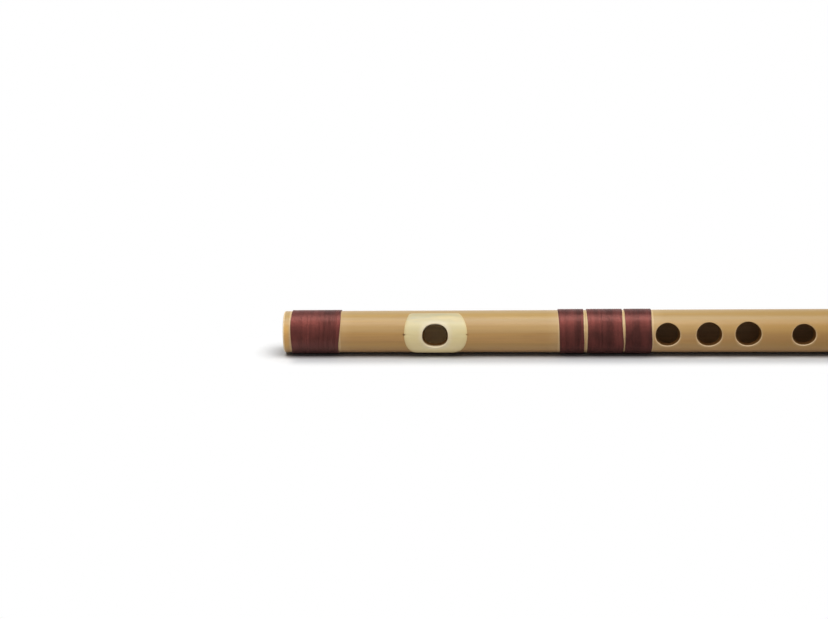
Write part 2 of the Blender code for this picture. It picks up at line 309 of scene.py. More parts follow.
class Nodes:
    """A node tree that is built by expressions."""

    def __init__(self, tree):
        self.tree = tree

    def node(self, kind, sockets=None, **settings):
        made = self.tree.nodes.new(kind)
        for name, value in settings.items():
            setattr(made, name, value)
        for name, value in (sockets or {}).items():
            self.feed(made.inputs[name], value)
        return made

    def feed(self, socket, value):
        if isinstance(value, Value):
            self.tree.links.new(value.socket, socket)
        elif isinstance(value, bpy.types.NodeSocket):
            self.tree.links.new(value, socket)
        else:
            socket.default_value = value

    def value(self, kind, sockets=None, output=0, **settings):
        return Value(self, self.node(kind, sockets, **settings).outputs[output])

    def maths(self, operation, *numbers):
        made = self.node("ShaderNodeMath", operation=operation)
        for socket, number in zip(made.inputs, numbers):
            self.feed(socket, number)
        return Value(self, made.outputs[0])

    def ramp(self, fac, stops):
        """A colour ramp: stops are (position, colour)."""
        made = self.node("ShaderNodeValToRGB", {"Fac": fac})
        elements = made.color_ramp.elements
        while len(elements) < len(stops):
            elements.new(1.0)
        for element, (position, colour) in zip(elements, stops):
            element.position = position
            element.color = (*colour, 1.0)
        return made.outputs["Color"]

    def blend(self, share, low, high, kind="MIX"):
        """A mix of two colours."""
        made = self.node("ShaderNodeMix", data_type="RGBA", blend_type=kind)
        self.feed(made.inputs[0], share)
        for socket, colour in ((made.inputs[6], low), (made.inputs[7], high)):
            self.feed(socket, colour if isinstance(colour, bpy.types.NodeSocket) else (*colour, 1.0))
        return made.outputs[2]


class Value:
    """A number in a node tree; an expression on it adds Math nodes."""

    def __init__(self, nodes, socket):
        self.nodes = nodes
        self.socket = socket

    def maths(self, operation, *others):
        return self.nodes.maths(operation, self, *others)

    def __add__(self, other):
        return self.maths("ADD", other)

    def __sub__(self, other):
        return self.maths("SUBTRACT", other)

    def __rsub__(self, other):
        return self.nodes.maths("SUBTRACT", other, self)

    def __mul__(self, other):
        return self.maths("MULTIPLY", other)

    def __truediv__(self, other):
        return self.maths("DIVIDE", other)

    def __rtruediv__(self, other):
        return self.nodes.maths("DIVIDE", other, self)

    __radd__ = __add__
    __rmul__ = __mul__

    def step(self, low, high):
        """0 under low, 1 over high, smooth between."""
        return self.nodes.value(
            "ShaderNodeMapRange", {"Value": self, "From Min": low, "From Max": high},
            interpolation_type="SMOOTHSTEP")

    def fade(self, low, high):
        """1 under low, 0 over high, smooth between."""
        return 1.0 - self.step(low, high)

    def band(self, start, full, fading, end):
        """0 under start, 1 from full to fading, 0 over end, smooth between."""
        return self.step(start, full) * self.fade(fading, end)


class Finish(Nodes):
    """One material with a Principled shader."""

    def __init__(self, name):
        self.material = bpy.data.materials.new(name)
        self.material.use_nodes = True
        super().__init__(self.material.node_tree)
        self.shader = self.tree.nodes["Principled BSDF"]
        self.coords = self.node("ShaderNodeTexCoord").outputs["Object"]

    def set(self, **sockets):
        """Sets or links the shader's own sockets."""
        for name, value in sockets.items():
            self.feed(self.shader.inputs[name.replace("_", " ")], value)

    def place(self):
        """X, Y and Z of the point on the surface, in metres."""
        split = self.node("ShaderNodeSeparateXYZ", {"Vector": self.coords}).outputs
        return tuple(Value(self, split[axis]) for axis in "XYZ")

    def noise(self, scale, detail=3.0, roughness=0.5):
        """Noise on object coordinates, stretched by a scale for each axis, per metre."""
        mapped = self.node("ShaderNodeMapping", {"Vector": self.coords, "Scale": scale})
        return self.value(
            "ShaderNodeTexNoise",
            {"Vector": mapped.outputs[0], "Scale": 1.0, "Detail": detail, "Roughness": roughness})

    def attribute(self, name):
        return self.value("ShaderNodeAttribute", attribute_name=name, output=2)

    def bump(self, height, distance, strength):
        made = self.node("ShaderNodeBump", {"Strength": strength, "Distance": distance, "Height": height})
        self.set(Normal=made.outputs[0])


def scaled(colour, factors):
    """A colour with each channel multiplied by its factor."""
    return tuple(channel * factor for channel, factor in zip(colour, factors))


def nearest_binding_edge(along):
    """Distance along the flute to the nearest end of a binding."""
    nearest = None
    for name in BINDINGS:
        low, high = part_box(name)
        gap = ((along - (low.x + high.x) / 2).maths("ABSOLUTE") - (high.x - low.x) / 2).maths("ABSOLUTE")
        nearest = nearest.maths("MINIMUM", gap) if nearest else gap
    return nearest


def plate_middle():
    """The middle of the lip plate, on the bamboo's skin in the world."""
    size = sizes()
    middle = EMBOUCHURE.centre + size.plate_offset
    radius = outer_radius(middle)
    return to_world() @ round_axis(middle, radius, size.hole_line_roll + size.plate_lift / radius)


def nick_shade(along, ahead, height):
    """Painted shade on the bamboo in and beside the plate's nicks, the foot side's less than the head side's."""
    spot = plate_middle()
    beside = (along - spot.x).maths("ABSOLUTE") - (sizes().plate_length / 2 + 0.15 * MM)
    level = height - spot.z
    shade_spot = (beside * beside + level * level).maths("SQRT").fade(0.3 * MM, 0.75 * MM)
    shade_spot = shade_spot * (0.75 - along.step(spot.x, spot.x + MM) * 0.45)
    return shade_spot * ahead.fade(-2 * MM, 0.0)


# Painted shade on the skin by height, as a share of the flute's thickness: a little darker at mid height and on
# top
PAINTED_SKIN_SHADE = (
    (0.25, (1.0, 1.0, 1.0)), (0.41, (1.0, 0.925, 0.94)), (0.545, (0.96, 0.91, 0.89)),
    (0.64, (1.0, 1.0, 1.0)), (0.77, (1.0, 1.0, 1.0)), (0.85, (0.90, 0.96, 0.97)))
SHADE_RAMP_HEIGHT = 22 * MM


def bamboo_skin(finish, fibres, streaks, along, height):
    """Lacquered skin: its grain, then slow changes of tone along the tube and round it, with painted shade by
    height and a painted reflection of the floor underneath.
    """
    tint = colours()
    blotches = finish.noise((45.0, 160.0, 160.0), roughness=0.6)
    bands = finish.noise((3.0, 260.0, 260.0), detail=2.0)
    shade = fibres.step(0.45, 0.72) * 0.35 + streaks.step(0.42, 0.70) * 0.35 + blotches.step(0.45, 0.75) * 0.3
    skin = finish.blend(shade, tint.bamboo, tint.bamboo_dark)
    head_rim = along.fade(TUBE_LOW.x + 2 * MM, TUBE_LOW.x + 4 * MM)
    greyer = bands.step(0.42, 0.62) * 0.5
    # Darker towards the foot
    toward_foot = along.step(0.0, 100 * MM)
    golden = head_rim * height.step(2 * MM, 6 * MM) * height.fade(14 * MM, 19 * MM)
    # Painted reflection of the pale floor: the skin turns paler and bluer towards the bottom
    below = height.fade(2 * MM, 7 * MM) * 0.8
    for share, factors in ((greyer, (0.88, 0.96, 1.3)), (toward_foot, (0.80, 0.76, 0.66)),
                           (golden, (1.25, 1.16, 0.9)), (below, (1.02, 1.05, 1.6))):
        skin = finish.blend(share, skin, scaled(tint.bamboo, factors))
    return finish.blend(1.0, skin, finish.ramp(height / SHADE_RAMP_HEIGHT, PAINTED_SKIN_SHADE), "MULTIPLY")


def bamboo_finish():
    """Golden skin with lengthwise fibres under lacquer, pale sanded rims, burnt walls, a brown bore."""
    finish = Finish("lacquered_bamboo")
    tint = colours()
    along, ahead, height = finish.place()
    fibres = finish.noise((9.0, 2600.0, 2600.0), detail=4.0, roughness=0.6)
    streaks = finish.noise((14.0, 700.0, 700.0))
    rim = finish.attribute("rim")
    wall = finish.attribute("wall")
    inside = finish.attribute("inside")
    skin = bamboo_skin(finish, fibres, streaks, along, height)
    # Painted shade in the plate's nicks, in the colour of the burnt walls
    skin = finish.blend(nick_shade(along, ahead, height), skin, tint.burnt)
    # Paler bamboo close beside the ends of the bindings
    edge = nearest_binding_edge(along)
    pale_fringe = edge.fade(0.4 * MM, 0.9 * MM) * 0.4 + edge.fade(1 * MM, 7 * MM) * 0.1
    skin = finish.blend(pale_fringe, skin, tint.bamboo_pale_and_lit)
    pores = fibres.step(0.5, 0.66) * 0.3
    cut = finish.blend(rim, skin, finish.blend(pores, tint.bamboo_rim, tint.bamboo_dark))
    # The bore under the blowing hole is paler: partly clean sanded bamboo, partly painted light falling in
    # through the hole
    mouth_bore_light = (along - plate_middle().x).maths("ABSOLUTE").fade(6 * MM, 16 * MM)
    bore = finish.blend(mouth_bore_light, tint.bore, tint.bamboo_pale_and_lit)
    bore = finish.blend(fibres.step(0.4, 0.7) * 0.3, bore, tint.burnt)
    lined = finish.blend(inside, cut, bore)
    finish.set(
        Base_Color=finish.blend(wall, lined, tint.burnt),
        Roughness=0.3 + (streaks - 0.5) * 0.12 + rim * 0.3 + inside * 0.3 + wall * 0.3,
        Specular_IOR_Level=0.3)
    finish.bump(fibres * 0.6 + streaks * 0.4, 0.02 * MM, 0.6)
    return finish.material


# Twists of the thread's plies in one turn round the flute
PLIES_PER_TURN = 150.0


def thread_finish():
    """Dark red thread: each turn a little different, with the lay of its plies as fine ridges, and painted light
    and shade by height.
    """
    finish = Finish("dark_red_thread")
    tint = colours()
    turn = finish.attribute("turn")
    round_thread = finish.attribute("round")
    spread = finish.noise((260.0, 30.0, 30.0), detail=1.5)
    wear = finish.noise((130.0, 100.0, 100.0))
    along, _, height = finish.place()
    at_head = along.fade(-130 * MM, -100 * MM)
    # Painted shade: the thread is darker at mid height, more on the other bindings than on the head's
    level = height.band(7 * MM, 10 * MM, 12.5 * MM, 15 * MM) * (1.6 - at_head * 0.6)
    shade = spread.step(0.38, 0.62) * (0.5 - at_head * 0.15) - 0.1 + wear.step(0.38, 0.66) * 0.35
    shade = shade + finish.attribute("dark") * 0.5 + level * 0.2
    plies = ((turn * PLIES_PER_TURN + round_thread) * math.tau).maths("SINE") * 0.5 + 0.5
    base = finish.blend(shade, tint.thread, tint.thread_dark)
    # Painted light on the thread: a painted highlight along the top, and paler thread at the bottom for light
    # from the floor
    top_highlight = height.band(17.4 * MM, 19.0 * MM, 19.9 * MM, 20.8 * MM)
    painted_light = height.fade(1 * MM, 8 * MM) * 0.7 + top_highlight * 0.35
    base = finish.blend(painted_light, base, tint.thread_painted_light)
    # Painted light from the floor: the head binding's lower half paler and greyer
    head_floor_light = scaled(tint.thread_painted_light, (1.05, 1.25, 1.3))
    base = finish.blend(at_head * height.fade(3 * MM, 11 * MM) * 0.45, base, head_floor_light)
    finish.set(
        Base_Color=finish.blend(plies * 0.25, base, tint.thread_dark),
        Metallic=0.72,
        Roughness=0.31 + wear * 0.08,
        Specular_IOR_Level=0.0,
        Sheen_Weight=0.18,
        Sheen_Roughness=0.3,
        Sheen_Tint=(0.9, 0.45, 0.4, 1.0))
    finish.bump(plies, 0.03 * MM, 0.5)
    return finish.material


def ivory_finish():
    """Polished ivory-coloured plate: faint cloudy bands, a paler lip and a warm edge, with painted light and
    shade: paler below, darker above and at the foot of its hole.
    """
    finish = Finish("ivory_plate")
    tint = colours()
    clouds = finish.noise((60.0, 220.0, 220.0), roughness=0.55)
    grain = finish.noise((60.0, 1500.0, 1500.0))
    edge = finish.attribute("edge")
    upper = finish.attribute("upper")
    warm = scaled(tint.ivory, (0.92, 0.85, 0.70))
    # Painted light and shade across the plate: paler on its lower side, darker towards its upper side
    body = finish.ramp(upper * 0.5 + 0.5, (
        (0.1, tint.ivory_low), (0.4, tint.ivory), (0.62, tint.ivory_high), (0.7, tint.ivory_high),
        (0.81, tint.ivory_shade)))
    body = finish.blend(finish.attribute("lip") * 0.5, body, tint.ivory_lip)
    # Painted shade at the foot of the hole's wall, in the colour of the burnt walls
    body = finish.blend(finish.attribute("deep"), body, tint.burnt)
    body = finish.blend(clouds.step(0.4, 0.75) * 0.5 + grain.step(0.5, 0.8) * 0.2, body, warm)
    finish.set(
        Base_Color=finish.blend(edge * 0.4, body, warm),
        Roughness=0.32 + clouds * 0.1,
        Coat_Weight=0.1,
        Coat_Roughness=0.15)
    finish.bump(grain, 0.01 * MM, 0.3)
    return finish.material


def cork_finish():
    """Granular cork with dark pores."""
    finish = Finish("cork")
    tint = colours()
    grains = finish.noise((700.0, 700.0, 700.0), detail=4.0, roughness=0.6)
    pores = finish.noise((350.0, 350.0, 350.0), detail=2.0).step(0.58, 0.66)
    dark = scaled(tint.cork, (0.35, 0.35, 0.35))
    finish.set(
        Base_Color=finish.blend(pores * 0.8 + grains.step(0.5, 0.8) * 0.2, tint.cork, dark),
        Roughness=0.85)
    finish.bump(grains - pores, 0.15 * MM, 0.8)
    return finish.material


# The tube's grid: steps round each rim, the distance between its rings, how much less the bore's edge is
# rounded than the skin's, and how far the patch round a hole reaches past it, along and round the tube
RIM_STEPS = 6
RING_SPACING = 1.6 * MM
BORE_ROUNDING = 0.5
PATCH_MARGIN = 2.6 * MM
PATCH_MARGIN_ANGLE = 0.22

# A hole's rings of points: steps from its patch to its rim, down its wall and back to the patch in the bore,
# and the paint, rim and wall, of each ring over the sanded edge
SKIN_STEPS = 5
WALL_STEPS = 4
BORE_STEPS = 4
EASING_PAINT = ((1.0, 0.0), (1.0, 0.0), (1.0, 0.5), (0.3, 1.0))


def tube_stations():
    """Distances along the tube with the outer and inner radius at each, both rims included."""
    size = sizes()
    rounding = size.lip_rounding
    bore = size.bore_diameter / 2
    rim = []
    for step in reversed(range(RIM_STEPS)):
        angle = math.pi / 2 * step / RIM_STEPS
        rim.append((rounding * (1 - math.sin(angle)), rounding * (1 - math.cos(angle))))
    length = TUBE_LENGTH - 2 * rounding
    count = round(length / RING_SPACING)
    places = rim + [(rounding + length * step / count, 0.0) for step in range(1, count)]
    places += [(TUBE_LENGTH - x, drop) for x, drop in reversed(rim)]
    return [(x, outer_radius(x) - drop, bore + drop * BORE_ROUNDING) for x, drop in places]


def rim_highlight_below(paint, direction):
    """The painted values with the sanded rim palest at the lower side of a hole: a painted highlight where light
    from above catches the lower edge.
    """
    share = 0.2 + 0.8 * (0.5 - 0.5 * math.sin(direction)) ** 2
    return {name: value * share if name == "rim" else value for name, value in paint.items()}


class HoleRings:
    """Makes the rings of points round one hole, each with a point for every point of its patch's border."""

    def __init__(self, maker, hole, border):
        """The border's points are given as distance along the tube from the hole's centre, and angle."""
        self.maker = maker
        self.hole = hole
        self.border = border
        self.rise = hole.rise / outer_radius(hole.centre)
        span = max(x for x, _ in border)
        turn = max(angle for _, angle in border)
        self.directions = [math.atan2(angle / turn, x / span) for x, angle in border]

    def point(self, x, radius, swing, direction, paint):
        place = round_axis(self.hole.centre + x, radius, sizes().hole_line_roll + swing)
        return self.maker.point(place, **rim_highlight_below(paint, direction))

    def on_surface(self, share, grow, inner_radius=None, **paint):
        """Points on the skin, or on the bore, part of the way from the border to the rim."""
        ring = []
        for (x, angle), direction in zip(self.border, self.directions):
            rim_x, across = self.hole.outline(grow, direction)
            along = mix(x, rim_x, share)
            radius = inner_radius or outer_radius(self.hole.centre + along)
            swing = mix(angle, math.asin(across / radius) + self.rise, share)
            ring.append(self.point(along, radius, swing, direction, paint))
        return ring

    def down_hole(self, grow, depth, share, **paint):
        """Points on the wall: that deep under the skin, then a share of the way to the bore."""
        bore = sizes().bore_diameter / 2
        ring = []
        for direction in self.directions:
            x, across = self.hole.outline(grow, direction)
            top = math.sqrt(outer_radius(self.hole.centre + x) ** 2 - across ** 2) - depth
            height = mix(top, math.sqrt(bore ** 2 - across ** 2), share)
            swing = math.atan2(across, height) + self.rise
            ring.append(self.point(x, math.hypot(height, across), swing, direction, paint))
        return ring

    def rings(self):
        """From the skin over the sanded edge, down the leaning wall and back along the bore."""
        size = sizes()
        easing, cone, bore = size.hole_easing, size.hole_cone, size.bore_diameter / 2
        rings = [self.on_surface(step / SKIN_STEPS, easing) for step in range(1, SKIN_STEPS)]
        rings.append(self.on_surface(1.0, easing, rim=0.3))
        for step, (rim, wall) in enumerate(EASING_PAINT, 1):
            angle = math.pi / 2 * step / len(EASING_PAINT)
            rings.append(self.down_hole(
                easing * (1 - math.sin(angle)), easing * (1 - math.cos(angle)), 0.0, rim=rim, wall=wall))
        for step in range(1, WALL_STEPS):
            rings.append(self.down_hole(-cone * step / WALL_STEPS, easing, step / WALL_STEPS, wall=1.0))
        rings.append(self.on_surface(1.0, -cone, bore, wall=1.0, inside=1.0))
        for step in range(BORE_STEPS - 1, 0, -1):
            rings.append(self.on_surface(step / BORE_STEPS, -cone, bore, inside=1.0))
        return rings


def hole_patch(hole, stations, around):
    """The part of the grids that a hole takes up: its first and last ring, and the columns on each side."""
    reach = hole.length / 2 + PATCH_MARGIN
    rings = [place for place, station in enumerate(stations) if abs(station[0] - hole.centre) < reach]
    half_angle = math.asin(hole.width / 2 / (sizes().bore_diameter / 2)) + PATCH_MARGIN_ANGLE
    return rings[0], rings[-1], math.ceil(half_angle / math.tau * around)


def make_tube_mesh(maker):
    """The tube as two grids, skin and bore, with a patch round each hole that turns into its rim and wall."""
    around = sizes().around
    stations = tube_stations()
    angles = [sizes().hole_line_roll + math.tau * column / around for column in range(around)]
    outer, inner = [], []
    for x, radius, inner_radius in stations:
        at_rim = radius < outer_radius(x) - TOLERANCE
        outer.append([maker.point(round_axis(x, radius, angle), rim=float(at_rim)) for angle in angles])
        inner.append([maker.point(round_axis(x, inner_radius, angle), inside=1.0) for angle in angles])
    holes = [(hole, hole_patch(hole, stations, around)) for hole in (EMBOUCHURE, *FINGER_HOLES)]
    covered = {(place, column % around) for _, (low, high, side) in holes
               for place in range(low, high) for column in range(-side, side)}
    for place in range(len(stations) - 1):
        for column in range(around):
            if (place, column) not in covered:
                maker.quad(outer[place], outer[place + 1], column)
                maker.quad(inner[place], inner[place + 1], column)
    maker.strips([inner[0], outer[0]])
    maker.strips([outer[-1], inner[-1]])
    for hole, (low, high, side) in holes:
        border = [(place, -side) for place in range(low, high)]
        border += [(high, column) for column in range(-side, side)]
        border += [(place, side) for place in range(high, low, -1)]
        border += [(low, column) for column in range(side, -side, -1)]
        places = [(stations[place][0] - hole.centre, math.tau * column / around) for place, column in border]
        maker.strips([
            [outer[place][column % around] for place, column in border],
            *HoleRings(maker, hole, places).rings(),
            [inner[place][column % around] for place, column in border]])


# Plate: radius of the shallow arc of its end and of its corner, in mm, for each quarter
PLATE_QUARTERS = {
    "upper foot side": (18.5, 1.6),
    "upper head side": (26.0, 1.6),
    "lower head side": (17.0, 2.8),
    "lower foot side": (14.5, 3.2),
}
NICK_DEPTH = 0.7 * MM
NICK_HALF_WIDTH = 0.5 * MM
LIP_EASING = 0.25 * MM
PLATE_EDGE_HEIGHT = 0.25 * MM
PLATE_CLEARANCE = 0.02 * MM

# The plate's grid: points along each arc or side of a quarter, steps round the lip and rings to the edge
PLATE_ARC_POINTS = 14
LIP_STEPS = 4
PLATE_ROWS = 16


def plate_quarter(name):
    """A quarter of the plate's outline, from the nick in its end to the middle of its side."""
    half_length = sizes().plate_length / 2
    half_width = sizes().plate_width / 2
    end_arc, corner = (radius * MM for radius in PLATE_QUARTERS[name])
    end_centre = half_length - end_arc
    corner_height = half_width - corner
    corner_reach = end_arc - corner
    touch = math.asin(corner_height / corner_reach)
    corner_centre = end_centre + corner_reach * math.cos(touch)
    quarter = [(half_length - NICK_DEPTH, 0.0), (half_length, NICK_HALF_WIDTH)]
    for step in range(1, PLATE_ARC_POINTS):
        angle = touch * step / PLATE_ARC_POINTS
        quarter.append((end_centre + end_arc * math.cos(angle), end_arc * math.sin(angle)))
    for step in range(PLATE_ARC_POINTS):
        angle = touch + (math.pi / 2 - touch) * step / PLATE_ARC_POINTS
        quarter.append((corner_centre + corner * math.cos(angle), corner_height + corner * math.sin(angle)))
    for step in range(PLATE_ARC_POINTS + 1):
        quarter.append((corner_centre * (1 - step / PLATE_ARC_POINTS), half_width))
    return quarter


def plate_outline():
    """The plate's outline: shallow arcs with a small nick at the ends, straight sides and round corners."""
    outline = plate_quarter("upper foot side")
    for name, way_along, way_around in (
            ("upper head side", -1, 1), ("lower head side", -1, -1), ("lower foot side", 1, -1)):
        quarter = [(along * way_along, around * way_around) for along, around in plate_quarter(name)]
        outline += (quarter if way_along == way_around else quarter[::-1])[1:]
    return outline[:-1]


def plate_profile():
    """The plate's rings, from the foot of the blowing hole's wall over the top to the edge and back below.

    For each: how far it lies outside the hole, its height, its share of the way from the hole to the outline,
    and its paint as edge.
    """
    thickness = sizes().plate_thickness
    rings = [(0.0, 0.0, 0.0, 0.0), (0.0, 0.5 * thickness, 0.0, 0.0)]
    for step in range(LIP_STEPS + 1):
        angle = math.pi / 2 * step / LIP_STEPS
        height = thickness - LIP_EASING * (1 - math.sin(angle))
        rings.append((LIP_EASING * (1 - math.cos(angle)), height, 0.0, 0.0))
    for row in range(1, PLATE_ROWS + 1):
        share = math.sin(math.pi / 2 * row / PLATE_ROWS)
        fullness = (1.0 - 0.4 * share ** 2) * max(0.0, 1.0 - share ** 7) ** 0.5
        rings.append((LIP_EASING, mix(PLATE_EDGE_HEIGHT, thickness, fullness), share, share ** 8))
    rings.append((LIP_EASING, 0.0, 1.0, 1.0))
    rings += [(0.0, 0.0, share, 0.0) for share in (0.75, 0.5, 0.25)]
    return rings


def make_plate_mesh(maker):
    """Rings from the blowing hole's wall over the plate to its thin edge and back under it."""
    size = sizes()
    hole = EMBOUCHURE
    seat = outer_radius(hole.centre)
    outline = plate_outline()
    rings = []
    for grow, height, share, edge in plate_profile():
        ring = []
        for along, across in outline:
            direction = math.atan2(across / hole.width, along / hole.length)
            rim_x, rim_across = hole.outline(grow, direction)
            x = hole.centre + mix(rim_x, along + size.plate_offset, share)
            rim_swing = math.asin(rim_across / seat) + hole.rise / seat
            swing = mix(rim_swing, (across + size.plate_lift) / seat, share)
            place = round_axis(x, outer_radius(x) + height + PLATE_CLEARANCE, size.hole_line_roll + swing)
            # Paint: -1 at the lower side of the plate to 1 at the upper, the paler lip round the hole, and
            # painted shade at the foot of the hole's wall
            upper = (swing * seat - size.plate_lift) / (size.plate_width / 2)
            lip = max(0.0, 1.0 - share * 4.0)
            deep = max(0.0, 0.8 - height / size.plate_thickness * 1.2) if share == 0.0 else 0.0
            ring.append(maker.point(place, edge=edge, upper=upper, lip=lip, deep=deep))
        rings.append(ring)
    maker.strips(rings + rings[:1])


# Cork: its clearance in the bore, its softened edge, the rings of its faces as shares of its radius, the ring
# on its edge as a share of the edge, steps along it and columns round it
CORK_CLEARANCE = 0.05 * MM
CORK_EDGE = 0.6 * MM
CORK_FACE_RINGS = (0.05, 0.3, 0.6, 0.85)
CORK_EDGE_RING = 0.3
CORK_STEPS = 16
CORK_COLUMNS = 96


def make_cork_mesh(maker):
    """A plug with flat ends and softened edges."""
    radius = sizes().bore_diameter / 2 - CORK_CLEARANCE
    start = CORK_LOW.x - TUBE_LOW.x
    soft = CORK_EDGE * CORK_EDGE_RING
    half = [(0.0, radius * share) for share in CORK_FACE_RINGS] + [(soft, radius - soft), (CORK_EDGE, radius)]
    outline = [(start + depth, ring_radius) for depth, ring_radius in half]
    for step in range(1, CORK_STEPS):
        outline.append((mix(start + CORK_EDGE, start + CORK_LENGTH - CORK_EDGE, step / CORK_STEPS), radius))
    outline += [(start + CORK_LENGTH - depth, ring_radius) for depth, ring_radius in reversed(half)]
    rings = [[maker.point(round_axis(x, ring_radius, math.tau * column / CORK_COLUMNS))
              for column in range(CORK_COLUMNS)] for x, ring_radius in outline]
    maker.strips(rings)
    maker.faces += [tuple(reversed(rings[0])), tuple(rings[-1])]


# Winding: points in one turn, sides of the thread, how far it may wander along the flute, how far its middle
# stands off the bamboo in thread radii, how much that changes, and the step from one binding's seed to the next
TURN_STEPS = 72
THREAD_SIDES = 8
THREAD_WANDER = 0.33 * MM
THREAD_STAND = 0.85
THREAD_BULGE = 0.14
SEED_STEP = 3.7
WINDING_NUMBERS = (
    "Start", "Length", "Turns", "Thread Radius", "Head Radius", "Taper", "Wander", "Seed",
    "Start Lean", "End Lean", "Start Bow", "End Bow", "Dark Place", "Dark Share")


def winding_tree():
    """Geometry Nodes for one binding: a thread wound round the tapered bamboo, turn beside turn."""
    tree = bpy.data.node_groups.new("thread winding", "GeometryNodeTree")
    nodes = Nodes(tree)
    for name in WINDING_NUMBERS:
        kind = "NodeSocketInt" if name == "Turns" else "NodeSocketFloat"
        tree.interface.new_socket(name, in_out="INPUT", socket_type=kind)
    tree.interface.new_socket("Thread", in_out="INPUT", socket_type="NodeSocketMaterial")
    tree.interface.new_socket("Geometry", in_out="OUTPUT", socket_type="NodeSocketGeometry")
    given = nodes.node("NodeGroupInput").outputs
    value = {name: Value(nodes, given[name]) for name in WINDING_NUMBERS}
    turn = nodes.value("GeometryNodeInputIndex") / TURN_STEPS
    share = turn / value["Turns"]

    def joined(x, y, z=0.0):
        return nodes.node("ShaderNodeCombineXYZ", {"X": x, "Y": y, "Z": z}).outputs[0]

    def noise(scale, seed):
        """Noise that changes from turn to turn."""
        place = joined(turn, seed)
        return nodes.value("ShaderNodeTexNoise", {"Vector": place, "Scale": scale, "Detail": 1.0},
                           noise_dimensions="2D")

    def geometry(kind, **sockets):
        """A node that makes or changes geometry; an underscore in a socket's name stands for a space."""
        named = {name.replace("_", " "): feed for name, feed in sockets.items()}
        return nodes.node(kind, named).outputs[0]

    def stored(shape, name, number):
        sockets = {"Geometry": shape, "Name": name, "Value": number}
        kind = "GeometryNodeStoreNamedAttribute"
        return nodes.node(kind, sockets, data_type="FLOAT", domain="POINT").outputs[0]

    # Where each point lies along the flute: even turns that drift a little, but not at the ends, and that lean
    # and bow; up * cosine ** 2 is largest between the top and the side, where 2.6 brings it to 1
    drift = noise(0.3, value["Seed"])
    bulge = noise(0.8, value["Seed"] + 9.0)
    angle = turn * math.tau
    up = angle.maths("SINE") * -1.0
    cosine = angle.maths("COSINE")
    lean = mix(value["Start Lean"], value["End Lean"], share) * up
    bow = mix(value["Start Bow"], value["End Bow"], share) * (up * cosine * cosine * 2.6)
    calm = (share * (1.0 - share) * 40.0).maths("MINIMUM", 1.0)
    drifted = (drift - 0.5) * value["Wander"] * calm
    reach = value["Length"] - value["Thread Radius"] * 2.0
    x = value["Start"] + value["Thread Radius"] + share * reach + drifted + lean + bow
    stand = value["Thread Radius"] * (THREAD_STAND + (bulge - 0.5) * THREAD_BULGE)
    radius = value["Head Radius"] + value["Taper"] * x + stand
    # The darker turns: round their place, and painted shade on the last ones at each end, where the thread meets
    # the bamboo
    away = (share - value["Dark Place"] + (drift - 0.5) * 0.08).maths("ABSOLUTE")
    last = (share.maths("MINIMUM", 1.0 - share) * value["Turns"]).fade(0.5, 2.5)
    dark = (away / value["Dark Share"]).fade(0.25, 0.75).maths("MAXIMUM", last * 0.7)
    count = value["Turns"] * TURN_STEPS + 1.0
    line = nodes.node("GeometryNodeMeshLine", {"Count": count}, mode="OFFSET").outputs[0]
    wound = geometry("GeometryNodeSetPosition", Geometry=line,
                     Position=joined(x, cosine * radius, up * radius))
    painted = stored(stored(wound, "turn", turn), "dark", dark)
    circle = geometry("GeometryNodeCurvePrimitiveCircle", Resolution=THREAD_SIDES,
                      Radius=value["Thread Radius"])
    factor = nodes.node("GeometryNodeSplineParameter").outputs["Factor"]
    tube = geometry("GeometryNodeCurveToMesh", Curve=geometry("GeometryNodeMeshToCurve", Mesh=painted),
                    Profile_Curve=stored(circle, "round", factor), Fill_Caps=True)
    smooth = geometry("GeometryNodeSetShadeSmooth", Geometry=tube)
    real = geometry("GeometryNodeRealizeInstances", Geometry=smooth)
    finished = geometry("GeometryNodeSetMaterial", Geometry=real, Material=given["Thread"])
    nodes.feed(nodes.node("NodeGroupOutput").inputs[0], finished)
    return tree


def wind(name, manner, tree, material, seed):
    """Runs the winding tree for one binding and keeps the result as a plain mesh."""
    low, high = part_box(name)
    size = sizes()
    first, last, (dark_place, dark_share) = manner
    start_shift, start_lean, start_bow = (amount * MM for amount in first)
    end_shift, end_lean, end_bow = (amount * MM for amount in last)
    length = high.x - low.x + end_shift - start_shift
    given = {
        "Start": low.x - TUBE_LOW.x + start_shift, "Length": length, "Turns": round(length / size.thread_pitch),
        "Thread Radius": size.thread_radius, "Head Radius": size.head_diameter / 2, "Taper": taper(),
        "Wander": THREAD_WANDER, "Seed": seed, "Start Lean": start_lean, "End Lean": end_lean,
        "Start Bow": start_bow, "End Bow": end_bow, "Dark Place": dark_place, "Dark Share": dark_share,
        "Thread": material,
    }
    carrier = link_new(name + "_carrier", bpy.data.meshes.new(name + "_carrier"))
    modifier = carrier.modifiers.new("winding", "NODES")
    modifier.node_group = tree
    for item in tree.interface.items_tree:
        if item.in_out == "INPUT":
            modifier[item.identifier] = given[item.name]
    carrier.update_tag()
    graph = bpy.context.evaluated_depsgraph_get()
    mesh = bpy.data.meshes.new_from_object(carrier.evaluated_get(graph), depsgraph=graph)
    carrier.modifiers.remove(modifier)
    bpy.data.objects.remove(carrier)
    mesh.name = name + "_thread"
    mesh.transform(to_world())
    return link_new(name + "_thread", mesh)


def make_piece(name, make_mesh, material):
    maker = MeshMaker()
    make_mesh(maker)
    return maker.finish(name, material)


def join_frame(piece, node, body):
    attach(piece, body)
    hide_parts(node)


class BANSURI_OT_bamboo(bpy.types.Operator):
    """Make the bamboo tube with its seven holes"""

    bl_idname = "bansuri.bamboo"
    bl_label = "Bamboo tube"

    def execute(self, context):
        piece = make_piece("bamboo", make_tube_mesh, bamboo_finish())
        join_frame(piece, "bamboo_tube", "flute")
        return {"FINISHED"}


